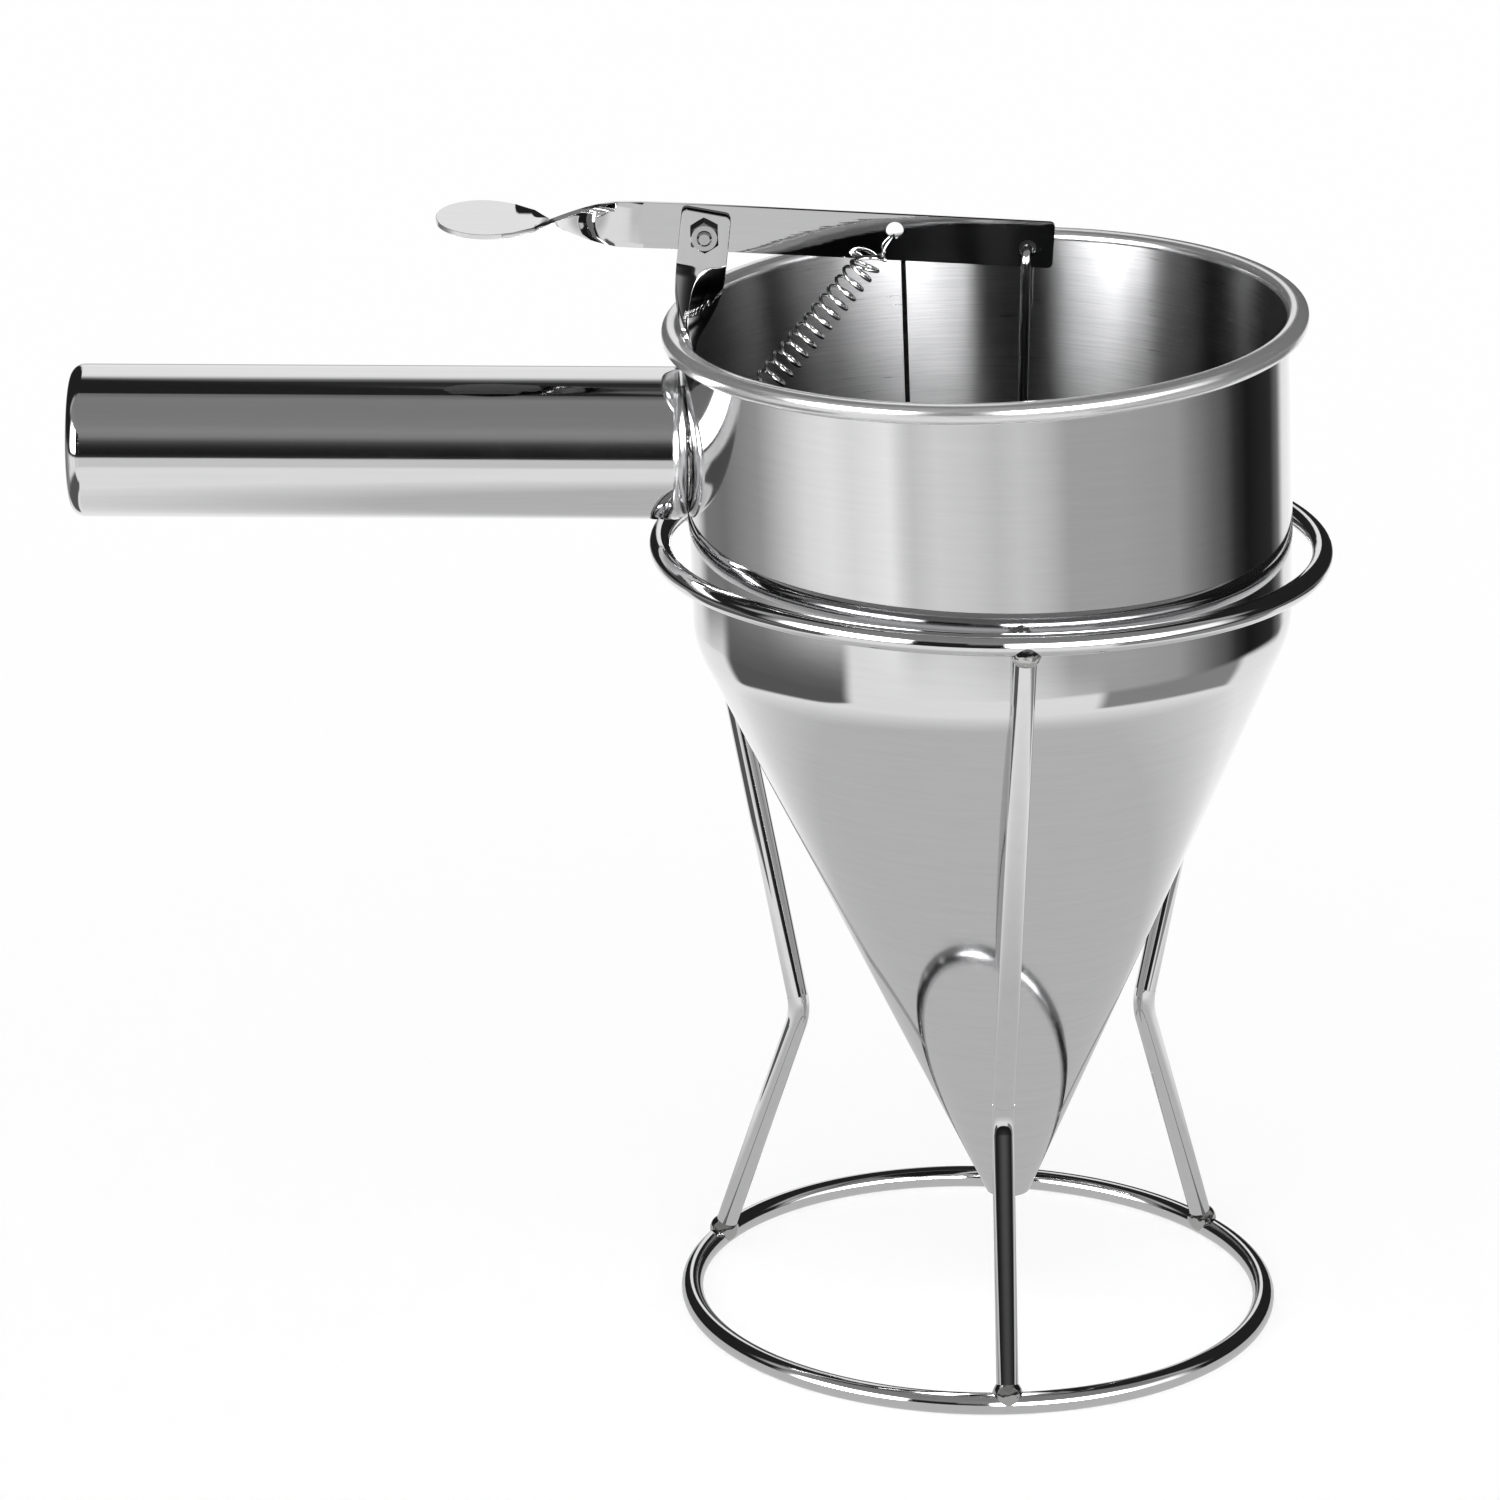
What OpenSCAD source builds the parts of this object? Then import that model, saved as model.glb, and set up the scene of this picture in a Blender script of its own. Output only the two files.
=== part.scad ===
// Pancake batter dispenser: a steel funnel with a side handle and a sprung lever
// that lifts a stopper out of its outlet, standing loosely in a bent-wire stand.
// Origin: centre of the foot ring, on the table. +Z up, handle towards -X, front towards -Y.

/* [Funnel] */
// Outside diameter over the rolled rim
rim_d = 130; // [126:1:134]
// Outside diameter of the rolled curl itself
curl_d = 4.4; // [3.9:0.1:4.6]
// Thickness of the sheet steel
sheet = 0.6; // [0.5:0.05:0.7]
// Height from the corner between bowl and cone up to the top of the rim
bowl_h = 65.4; // [60:0.1:72]
// Half angle of the cone
cone_half = 24.1; // [23.6:0.05:24.6]
// Bore of the outlet at the point of the cone
outlet_d = 8; // [7:0.1:9]
// Height of the outlet above the table
outlet_z = 23.1; // [21:0.1:25]
// Outside radius where the bowl rounds into the cone
shoulder_r = 20; // [18:1:26]

/* [Seat in the stand] */
// Lean of the standing funnel towards its handle, in degrees
lean_side = 2.5; // [0:0.1:2.6]
// Lean of the standing funnel towards its front, in degrees
lean_front = 1.4; // [0:0.1:1.5]

/* [Handle] */
// Diameter of the tube
handle_d = 30.9; // [28:0.1:32]
// Length from the bowl to the far end
handle_len = 123.9; // [100:0.2:140]
// Wall of the tube and of its two caps
handle_wall = 0.8; // [0.6:0.1:1.2]
// How far the handle's axis meets the bowl below the rim
handle_drop = 25.4; // [22:0.1:28]
// Angle the handle rises above square to the bowl
handle_rise = 2.5; // [0:0.1:3]
// Rounding at the edge of both caps
cap_round = 3; // [2:0.2:4]
// Space between the saddle of the inner cap and the bowl that the weld fills
root_gap = 0.4; // [0.3:0.05:0.6]
// Radius of the weld ring in that space, to the middle of the bead
root_weld_r = 10.8; // [10:0.1:11.4]
// Width of that weld bead
root_weld_w = 1.6; // [1.2:0.1:1.8]

/* [Lever] */
// Width of the strip the lever is made of
strip_w = 9.5; // [8.5:0.1:10.5]
// Thickness of that strip
strip_t = 1; // [0.8:0.1:1.2]
// How far inside the bowl's wall the pivot stands
pivot_in = 5.2; // [5:0.1:6]
// Height of the pivot above the rim
pivot_up = 18.4; // [17:0.1:20]
// Slope of the resting lever down towards the outlet
lever_slope = 5.2; // [4:0.1:6]
// How far the middle of the strip lies above the pivot
strip_rise = 1.1; // [0.6:0.1:1.4]
// From the pivot to the stopper end of the lever
arm_len = 69.8; // [69:0.1:72]
// From the pivot to where the strip begins to twist
twist_start = 13; // [11:0.5:14]
// Length of the quarter twist
twist_len = 22.5; // [20:0.5:25]
// From the pivot to the middle of the thumb pad
pad_at = 44; // [43:0.5:46]
// Diameter of the thumb pad
pad_d = 19.4; // [18:0.2:20]
// Turn of the twist: a little over a quarter, so the pad leans to the front
twist_turn = 94; // [90:1:96]
// Angle the tail with the pad bends down from the line of the lever
tail_bend = 1.2; // [0:0.1:2]
// From the pivot to the spring's hole
spring_hole_at = 37.9; // [36:0.1:40]
// How far the spring's hole lies above the middle of the strip
spring_hole_up = 1.5; // [1:0.1:2]
// Diameter of the spring's hole
spring_hole_d = 3.5; // [3.2:0.1:3.8]
// From the lever's stopper end back to the rod's hole
rod_hole_in = 5.2; // [4.8:0.1:6]
// Diameter of the rod's hole
rod_hole_d = 3.4; // [3.4:0.1:3.6]

/* [Bracket and pivot] */
// Width of the bracket's strip
bracket_w = 10; // [9:0.2:10.4]
// Thickness of the bracket's strip
bracket_t = 1.2; // [1:0.1:1.2]
// How far its bend lies below the rim
bend_down = 12; // [10.4:0.2:13.4]
// How far its spring lug lies below the rim
lug_down = 31; // [29.4:0.2:32.4]
// Height of the pivot plate's top above the pivot
plate_up = 4.6; // [4:0.1:5.6]
// Slope of that top edge, in degrees
plate_slope = 5; // [0:1:8]
// From the strap to the middle of the spring's hole in the lug
lug_hole_in = 2.2; // [2:0.1:3]
// How far the spring lug reaches in from the strap
lug_len = 7.8; // [7:0.2:9]
// Diameter of the pivot screw
screw_d = 3; // [3:0.1:3]
// Running clearance around the pivot screw
run_gap = 0.05; // [0.03:0.01:0.08]
// Thickness of the two pivot washers
washer_t = 0.4; // [0.3:0.1:0.5]
// Play between the lever and each washer
side_play = 0.1; // [0.08:0.01:0.15]

/* [Spring] */
// Outside diameter of the coil
coil_d = 6; // [5.4:0.1:6.2]
// Diameter of the spring's wire
coil_wire_d = 0.7; // [0.6:0.05:0.8]
// Number of turns
coil_turns = 21; // [16:1:22]
// How far the coil's top hangs beside the spring's hole
coil_aside = 1; // [0.6:0.1:1.4]

/* [Rod and stopper] */
// Diameter of the rod's wire
rod_d = 2; // [1.8:0.1:2]
// Radius of the hook's bend, to the middle of the wire
hook_r = 2.1; // [2:0.1:2.3]
// Length of the hook's short leg
hook_leg = 10; // [8:0.5:14]
// Turn of the hook across the lever, in degrees
hook_skew = 10; // [0:1:15]
// Diameter of the stopper's ball
stopper_d = 12; // [11.6:0.1:13]
// Space between the closed stopper and the cone
seat_gap = 0.3; // [0.3:0.05:0.5]
// Height of the stopper's taper above the middle of its ball
taper_h = 12; // [10:0.5:14]

/* [Stand] */
// Diameter of the wire of the rings and legs
wire_d = 4.5; // [4.2:0.1:4.6]
// Free space between the bowl and the upper ring
ring_gap = 3.75; // [3.7:0.05:4]
// Height of the upper ring above the corner of bowl and cone
ring_up = 16.1; // [15.8:0.1:16.4]
// Radius of the foot ring, to the middle of its wire
foot_r = 60.2; // [58:0.1:63]
// Radius of the knees, to the middle of the wire
knee_r = 41.9; // [41.7:0.1:43]
// Height of the knees
knee_z = 57.1; // [54:0.1:60]
// Bend radius at the knees, to the middle of the wire
knee_bend = 12; // [8:1:16]
// Direction of the front leg, in degrees
leg_turn = -86; // [-100:0.5:-70]
// Outside diameter of the weld beads
weld_d = 6.2; // [5.6:0.1:6.6]
// Weld metal between the end of a leg and its ring
weld_gap = 0.3; // [0.2:0.05:0.4]
// Spacing that keeps welded pieces from sharing metal
touch = 0.02; // [0.01:0.01:0.03]

/* [Hidden] */
$fn = 72;
steel = [0.80, 0.81, 0.82];
polished = [0.86, 0.87, 0.88];
dark_steel = [0.70, 0.71, 0.72];

// bowl and cone
curl_r = curl_d / 2;
wall_in = rim_d / 2 - curl_d;
wall_out = wall_in + sheet;
tip_in = outlet_d / 2;
tip_out = tip_in + sheet / cos(cone_half);
corner_z = outlet_z + (wall_out - tip_out) / tan(cone_half);
rim_z = corner_z + bowl_h;
shoulder_t = shoulder_r * tan(cone_half / 2);
joint_z = corner_z + shoulder_t;

// stand
wire_r = wire_d / 2;
top_r = wall_out + ring_gap + wire_r;
top_z = corner_z + ring_up;
leg_count = 3;
legs = [for (i = [0:leg_count - 1]) leg_turn + 360 / leg_count * i];

// lever frame
pivot_x = -(wall_in - pivot_in);
pivot_z = rim_z + pivot_up;
strip_mid = strip_rise;
side = strip_t / 2;
plate_y = -(side + side_play + washer_t + bracket_t / 2);
bend_z = rim_z - bend_down;
foot_x = -(sqrt(pow(wall_in, 2) - pow(bracket_w / 2 - plate_y, 2)) - bracket_t / 2 - touch);
lean_in = atan((pivot_x - foot_x) / (pivot_z - bend_z));
lug_z = rim_z - lug_down;
lug_hole_x = foot_x + bracket_t / 2 + lug_hole_in;
along = [cos(lever_slope), 0, -sin(lever_slope)];
across = [sin(lever_slope), 0, cos(lever_slope)];
pivot = [pivot_x, 0, pivot_z];
spring_hole = pivot + spring_hole_at * along + (strip_mid + spring_hole_up) * across;
rod_hole = pivot + (arm_len - rod_hole_in) * along + 0.3 * across;

// rod: its hook hangs in the lever, its stopper closes the cone
rod_r = rod_d / 2;
// the rod ends this far above the ball's middle, inside the stopper
rod_end = 2;
stopper_lip = 0.9;
hook = rod_hole - [0, 0, 0.45];
ball_r = stopper_d / 2;
ball_z = outlet_z + ((ball_r + seat_gap) / cos(cone_half) - tip_in) / tan(cone_half);
rod_reach = norm([hook[0], hook[2] - ball_z]);
rod_drop = sqrt(pow(rod_reach, 2) - pow(hook_r, 2));
shank_x = -hook_r * sin(hook_skew);
shank_y = hook_r * cos(hook_skew);
rod_lean_x = atan(shank_y / rod_drop);
rod_lean_y = atan(shank_x / norm([shank_y, rod_drop])) + atan(hook[0] / (hook[2] - ball_z));

// ---- helpers ----

// everything that belongs to the funnel leans with it about the middle of the upper ring
module seated() {
    translate([0, 0, top_z])
        rotate([lean_front, -lean_side, 0])
            translate([0, 0, -top_z])
                children();
}

// a straight round bar from one point to another
module bar(a, b, r) {
    d = b - a;
    n = norm(d);
    translate(a)
        rotate([0, acos(d[2] / n), atan2(d[1], d[0])])
            cylinder(h = n, r = r);
}

module ring(r, wire) {
    rotate_extrude()
        translate([r, 0])
            circle(r = wire);
}

// ---- funnel ----

// wall, with the curl rolled outwards at its top
module funnel_bowl() {
    color(polished)
        seated()
            rotate_extrude($fn = 180) {
                translate([wall_in, joint_z])
                    square([sheet, rim_z - curl_r - joint_z]);
                translate([wall_in + curl_r, rim_z - curl_r])
                    difference() {
                        circle(r = curl_r);
                        circle(r = curl_r - sheet);
                    }
            }
}

// raised line of the butt weld down the inside of the bowl
module bowl_seam() {
    seam_w = 1;
    seam_t = 0.12;
    color(steel)
        seated()
            rotate([0, 0, 104.5])
                translate([wall_in - seam_t - 2 * touch, -seam_w / 2, joint_z + 1])
                    cube([seam_t, seam_w, rim_z - curl_d - joint_z - 2]);
}

// half section below the bowl, filled to the axis: straight cone and rounded shoulder
module cone_side(wall_r, round_r, spare) {
    c = [wall_out - shoulder_r, joint_z];
    corner = c + [round_r, -round_r * tan(cone_half / 2)];
    tangent = c + round_r * [cos(cone_half), -sin(cone_half)];
    end_z = outlet_z - spare;
    end_r = corner[0] - (corner[1] - end_z) * tan(cone_half);
    difference() {
        polygon([[0, end_z], [end_r, end_z], corner, [wall_r, joint_z + spare], [0, joint_z + spare]]);
        difference() {
            polygon([c, tangent, corner, [wall_r, joint_z]]);
            translate(c)
                circle(r = round_r);
        }
    }
}

// rounded shoulder and straight cone, open at its point
module funnel_cone() {
    color(polished)
        seated()
            rotate_extrude($fn = 180)
                difference() {
                    cone_side(wall_out, shoulder_r, 0);
                    cone_side(wall_in, shoulder_r - sheet, 1);
                }
}

// ---- handle ----

module handle_frame() {
    translate([-wall_out, 0, rim_z - handle_drop])
        rotate([0, handle_rise - 90, 0])
            children();
}

handle_r = handle_d / 2;
// the inner cap's rim reaches down beside the curve of the bowl
root_sag = wall_out - sqrt(pow(wall_out, 2) - pow(handle_r - cap_round, 2));
tube_a = root_gap - root_sag + cap_round;
tube_b = handle_len - cap_round;

module handle_tube() {
    color(polished)
        seated()
            handle_frame()
                translate([0, 0, tube_a])
                    difference() {
                        cylinder(h = tube_b - tube_a, r = handle_r);
                        translate([0, 0, -1])
                            cylinder(h = tube_b - tube_a + 2, r = handle_r - handle_wall);
                    }
}

// pressed cap: a disc whose edge rounds over to meet the tube
module cap() {
    flat = handle_r - cap_round;
    rotate_extrude($fn = 96) {
        translate([0, cap_round - handle_wall])
            square([flat, handle_wall]);
        intersection() {
            translate([flat, 0])
                difference() {
                    circle(r = cap_round);
                    circle(r = cap_round - handle_wall);
                }
            translate([flat, 0])
                square(cap_round + 1);
        }
    }
}

module handle_end_cap() {
    color(polished)
        seated()
            handle_frame()
                translate([0, 0, tube_b])
                    cap();
}

// solid cap with a rounded edge, hollowed to a saddle that follows the bowl
module handle_root_cap() {
    flat = handle_r - cap_round;
    color(polished)
        seated()
            difference() {
                handle_frame()
                    translate([0, 0, tube_a])
                        rotate_extrude($fn = 96)
                            difference() {
                                translate([0, -cap_round])
                                    square([handle_r, cap_round]);
                                difference() {
                                    translate([flat, -cap_round - 1])
                                        square([cap_round + 1, cap_round + 1]);
                                    translate([flat, 0])
                                        circle(r = cap_round);
                                }
                            }
                cylinder(h = rim_z, r = wall_out + root_gap, $fn = 360);
            }
}

// weld bead in the space between the saddle and the bowl
module handle_weld() {
    color(steel)
        seated()
            difference() {
                intersection() {
                    handle_frame()
                        translate([0, 0, -4])
                            difference() {
                                cylinder(h = 8, r = root_weld_r + root_weld_w / 2);
                                translate([0, 0, -1])
                                    cylinder(h = 10, r = root_weld_r - root_weld_w / 2);
                            }
                    cylinder(h = rim_z, r = wall_out + root_gap - touch, $fn = 360);
                }
                translate([0, 0, -1])
                    cylinder(h = rim_z + 2, r = wall_out + touch, $fn = 360);
            }
}

// ---- bracket and pivot ----

// strip welded to the inside of the bowl: lug, strap, bend, quarter twist and pivot plate
module bracket() {
    twist_a = 8;
    twist_b = 24.2;
    corner = 1.2;
    top = (pivot_z - bend_z) / cos(lean_in) + plate_up - corner;
    round_x = bracket_w / 2 - corner;
    rise = round_x * tan(plate_slope);
    color(steel)
        seated()
            difference() {
                union() {
                    translate([foot_x - bracket_t / 2, plate_y - bracket_w / 2, lug_z])
                        cube([lug_len + bracket_t, bracket_w, bracket_t]);
                    translate([foot_x - bracket_t / 2, plate_y - bracket_w / 2, lug_z])
                        cube([bracket_t, bracket_w, bend_z - lug_z]);
                    translate([foot_x, plate_y - bracket_w / 2, bend_z])
                        rotate([-90, 0, 0])
                            cylinder(h = bracket_w, r = bracket_t / 2 + touch);
                    translate([foot_x, plate_y, bend_z])
                        rotate([0, lean_in, 0]) {
                            translate([-bracket_t / 2, -bracket_w / 2, 0])
                                cube([bracket_t, bracket_w, twist_a]);
                            translate([0, 0, twist_a])
                                linear_extrude(height = twist_b - twist_a, twist = -90, slices = 20, $fn = 16)
                                    square([bracket_t - touch, bracket_w - touch], center = true);
                            translate([0, bracket_t / 2, 0])
                                rotate([90, 0, 0])
                                    linear_extrude(height = bracket_t) {
                                        polygon([[-bracket_w / 2, twist_b],
                                                 [bracket_w / 2, twist_b],
                                                 [bracket_w / 2, top - rise],
                                                 [round_x, top - rise + corner],
                                                 [-round_x, top + rise + corner],
                                                 [-bracket_w / 2, top + rise]]);
                                        for (s = [-1, 1])
                                            translate([s * round_x, top - s * rise])
                                                circle(r = corner);
                                    }
                        }
                }
                // pivot hole
                translate([pivot_x, plate_y - 2, pivot_z])
                    rotate([-90, 0, 0])
                        cylinder(h = 4, r = screw_d / 2 + run_gap);
                // spring hole in the lug
                translate([lug_hole_x, 0, lug_z - 1])
                    cylinder(h = bracket_t + 2, r = 1.2);
            }
}

// distances back from the lever's middle plane at which the pivot's pieces meet
pack_back = side + side_play + washer_t;
pack_front = plate_y - bracket_t / 2;
nut_t = 2.4;

module on_pivot() {
    seated()
        translate(pivot)
            rotate([-90, 0, 0])
                children();
}

// slotted pan-head screw, head at the back, end standing out of the nut
module pivot_screw() {
    head_r = 2.8;
    head_h = 1.9;
    color(dark_steel)
        on_pivot()
            difference() {
                union() {
                    translate([0, 0, pack_front - nut_t - 0.5])
                        cylinder(h = pack_back - pack_front + nut_t + 0.5, r = screw_d / 2);
                    translate([0, 0, pack_front - nut_t - 0.9])
                        cylinder(h = 0.4, r1 = screw_d / 2 - 0.4, r2 = screw_d / 2);
                    translate([0, 0, pack_back])
                        cylinder(h = head_h - 0.8, r = head_r);
                    translate([0, 0, pack_back + head_h - 0.8])
                        cylinder(h = 0.8, r1 = head_r, r2 = head_r - 0.9);
                }
                translate([-4, -0.4, pack_back + head_h - 0.9])
                    cube([8, 0.8, 2]);
            }
}

// hexagon nut in front of the bracket, bevelled at its outer face
module pivot_nut() {
    across_flats = 5.5;
    corner_r = across_flats / 2 / cos(30);
    color(dark_steel)
        on_pivot()
            translate([0, 0, pack_front - nut_t])
                difference() {
                    intersection() {
                        rotate([0, 0, 30])
                            cylinder(h = nut_t, r = corner_r, $fn = 6);
                        union() {
                            cylinder(h = 0.4, r1 = corner_r - 0.6, r2 = corner_r + 0.1);
                            translate([0, 0, 0.4])
                                cylinder(h = nut_t, r = corner_r + 0.1);
                        }
                    }
                    translate([0, 0, -1])
                        cylinder(h = nut_t + 2, r = screw_d / 2 + touch);
                }
}

// one washer on each side of the lever
module pivot_washers() {
    color(dark_steel)
        on_pivot()
            for (z = [side + side_play, -side - side_play - washer_t])
                translate([0, 0, z])
                    difference() {
                        cylinder(h = washer_t, r = 3.1);
                        translate([0, 0, -1])
                            cylinder(h = washer_t + 2, r = screw_d / 2 + run_gap);
                    }
}

// ---- lever ----

module lever_frame() {
    translate(pivot)
        rotate([0, lever_slope, 0])
            children();
}

// strip on edge over the bowl, quarter twist, round thumb pad lying flat
module lever() {
    low = strip_mid - strip_w / 2;
    corner = 1;
    lap = 0.3;
    color(steel)
        seated()
            difference() {
                lever_frame()
                    union() {
                        translate([0, side, 0])
                            rotate([90, 0, 0])
                                linear_extrude(height = strip_t) {
                                    translate([-twist_start, low])
                                        square([twist_start + arm_len - corner, strip_w]);
                                    translate([0, low + corner])
                                        square([arm_len, strip_w - 2 * corner]);
                                    for (z = [low + corner, low + strip_w - corner])
                                        translate([arm_len - corner, z])
                                            circle(r = corner);
                                }
                        translate([-twist_start, 0, strip_mid])
                            rotate([0, -tail_bend, 0]) {
                                translate([lap, 0, 0])
                                    rotate([0, -90, 0])
                                        linear_extrude(height = twist_len, twist = twist_turn,
                                                       slices = 28, $fn = 16)
                                            square([strip_w - touch, strip_t - touch], center = true);
                                translate([twist_start - pad_at, 0, 0])
                                    rotate([twist_turn - 90, 0, 0])
                                        translate([0, 0, -side])
                                            cylinder(h = strip_t, r = pad_d / 2);
                            }
                    }
                translate(pivot - [0, 2, 0])
                    rotate([-90, 0, 0])
                        cylinder(h = 4, r = screw_d / 2 + run_gap);
                translate(spring_hole - [0, 2, 0])
                    rotate([-90, 0, 0])
                        cylinder(h = 4, r = spring_hole_d / 2);
                translate(rod_hole - [0, 2, 0])
                    rotate([-90, 0, 0])
                        cylinder(h = 4, r = rod_hole_d / 2);
            }
}

// ---- spring ----

coil_r = coil_d / 2 - coil_wire_d / 2;
coil_w = coil_wire_d / 2;
// the coil runs in front of the lever and down to the lug on the wall
coil_y = -(side + 0.25 + coil_d / 2);
lug_hole = [lug_hole_x, 0, lug_z + bracket_t / 2];
pull = (lug_hole - spring_hole) / norm(lug_hole - spring_hole);
coil_top = spring_hole + 7 * pull + [-coil_aside, coil_y, 0];
coil_end = lug_hole - 4.6 * pull;
coil_axis = coil_end - coil_top;
coil_len = norm(coil_axis);
// where the upper wire passes through the lever, and the lower wire through the lug
eye = spring_hole + (spring_hole_d / 2 - coil_w - 0.12) * pull;

// level section of one wire of the coil, spread round the axis as far as the wire climbs
module coil_section() {
    pitch = coil_len / coil_turns;
    spread = 360 * coil_w / pitch * 1.01;
    outer = [for (i = [-2:2]) let (t = i / 2) [coil_r + coil_w * sqrt(1 - t * t), spread * t]];
    inner = [for (i = [1:-1:-1]) let (t = i / 2) [coil_r - coil_w * sqrt(1 - t * t), spread * t]];
    polygon([for (p = concat(outer, inner)) p[0] * [sin(p[1]), -cos(p[1])]]);
}

// coil with a hook at each end
module spring() {
    turn_z = atan2(coil_axis[1], coil_axis[0]);
    rim = coil_r * [sin(turn_z), -cos(turn_z), 0];
    start = coil_top + rim;
    turn = [eye[0], start[1], eye[2]];
    below = lug_hole + 2.2 * pull;
    color(dark_steel)
        seated()
            union() {
                translate(coil_top)
                    rotate([0, acos(coil_axis[2] / coil_len), turn_z])
                        linear_extrude(height = coil_len, twist = 360 * coil_turns,
                                       slices = 12 * coil_turns, $fn = 6)
                            coil_section();
                // upper hook, up the front of the lever and through its hole
                bar(start + 0.3 * pull, turn, coil_w);
                translate(turn)
                    sphere(r = coil_w + touch);
                bar(turn, [eye[0], side + 0.9, eye[2]], coil_w);
                // lower hook, from the last turn to the axis and down through the lug
                bar(coil_end + rim - 0.2 * pull, coil_end, coil_w + touch);
                translate(coil_end)
                    sphere(r = coil_w + 2 * touch);
                bar(coil_end, below, coil_w);
                translate(below)
                    sphere(r = coil_w + touch);
                bar(below, below - [0, 2, 0], coil_w);
            }
}

// ---- rod and stopper ----

module rod_frame() {
    translate(hook)
        rotate([rod_lean_x, rod_lean_y, 0])
            rotate([0, 0, -hook_skew])
                children();
}

// wire bent over at its top into the lever, straight down to the stopper
module rod() {
    color(polished)
        seated()
            rod_frame()
                union() {
                    translate([0, 0, -hook_r])
                        rotate([90, 0, 90])
                            rotate_extrude(angle = 180)
                                translate([hook_r, 0])
                                    circle(r = rod_r);
                    translate([0, hook_r, -hook_r - hook_leg])
                        cylinder(h = hook_leg, r = rod_r);
                    translate([0, -hook_r, -rod_drop + rod_end])
                        cylinder(h = rod_drop - hook_r - rod_end, r = rod_r);
                }
}

// ball that closes the cone, tapering up to the rod
module stopper() {
    color(polished)
        seated()
            rod_frame()
                translate([0, -hook_r, -rod_drop])
                    difference() {
                        union() {
                            sphere(r = ball_r, $fn = 96);
                            translate([0, 0, rod_end])
                                cylinder(h = taper_h - rod_end,
                                         r1 = sqrt(pow(ball_r, 2) - pow(rod_end, 2)),
                                         r2 = rod_r + stopper_lip);
                        }
                        translate([0, 0, rod_end - touch])
                            cylinder(h = taper_h, r = rod_r + touch);
                    }
}

// ---- stand ----

module top_ring() {
    color(polished)
        translate([0, 0, top_z])
            ring(top_r, wire_r, $fn = 180);
}

module foot_ring() {
    color(polished)
        translate([0, 0, wire_r])
            ring(foot_r, wire_r, $fn = 180);
}

knee = [knee_r, 0, knee_z];
head = [top_r, 0, top_z];
foot = [foot_r, 0, wire_r];
knee_up = (head - knee) / norm(head - knee);
knee_down = (foot - knee) / norm(foot - knee);
// distance from a ring's middle to the end of the leg that is welded to it
stub = wire_r + weld_gap;

// one leg: down and in to the knee, down and out to the foot ring
module leg(a) {
    a_up = atan2(knee_up[2], knee_up[0]);
    a_down = atan2(knee_down[2], knee_down[0]);
    half = (a_up - a_down) / 2;
    mid = (a_up + a_down) / 2;
    reach = knee_bend / tan(half);
    out = knee_bend / sin(half);
    lap = 0.2;
    color(polished)
        rotate([0, 0, a]) {
            bar(knee + (reach - lap) * knee_up, head - stub * knee_up, wire_r);
            bar(knee + (reach - lap) * knee_down, foot - stub * knee_down, wire_r);
            translate(knee + out * [cos(mid), 0, sin(mid)])
                rotate([90, 0, 0])
                    rotate([0, 0, mid + 90 + half])
                        rotate_extrude(angle = 180 - 2 * half)
                            translate([knee_bend, 0])
                                circle(r = wire_r + touch);
        }
}

module leg_front() { leg(legs[0]); }

module leg_right() { leg(legs[1]); }

module leg_left() { leg(legs[2]); }

// a bead round each leg's end, between it and its ring
module beads(end, u) {
    $fn = 144;
    for (a = legs)
        rotate([0, 0, a])
            difference() {
                translate(end - 1.8 * u)
                    sphere(r = weld_d / 2);
                bar(end - (stub - touch) * u, end - 8 * u, wire_r + touch);
                translate([0, 0, end[2]])
                    ring(end[0], wire_r + touch);
            }
}

module top_welds() {
    color(steel)
        beads(head, knee_up);
}

module foot_welds() {
    color(steel)
        beads(foot, knee_down);
}

funnel_bowl();
bowl_seam();
funnel_cone();
handle_tube();
handle_end_cap();
handle_root_cap();
handle_weld();
bracket();
pivot_screw();
pivot_nut();
pivot_washers();
lever();
spring();
rod();
stopper();
top_ring();
foot_ring();
leg_front();
leg_right();
leg_left();
top_welds();
foot_welds();
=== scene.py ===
# %% [markdown]
# # A pancake batter dispenser
# A steel funnel hangs in a bent-wire stand. A hollow handle is welded to its side, and a lever under
# the thumb lifts a stopper out of the outlet, against a small spring.
# This file dresses a part that is already built. The rings, legs and handle arrive as finished
# solids in real size and only need a finish. What the eye reads best up close, which is the
# funnel's sheet, the two twisted strips and the spring, is modelled again here over its solid.
# Blender works in metres. The sizes below are written in millimetres and multiplied by `MM` at the
# last moment, which keeps the numbers easy to check against a ruler.

# %% Load the part
import bpy, bmesh, math
from mathutils import Vector, Matrix


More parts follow.
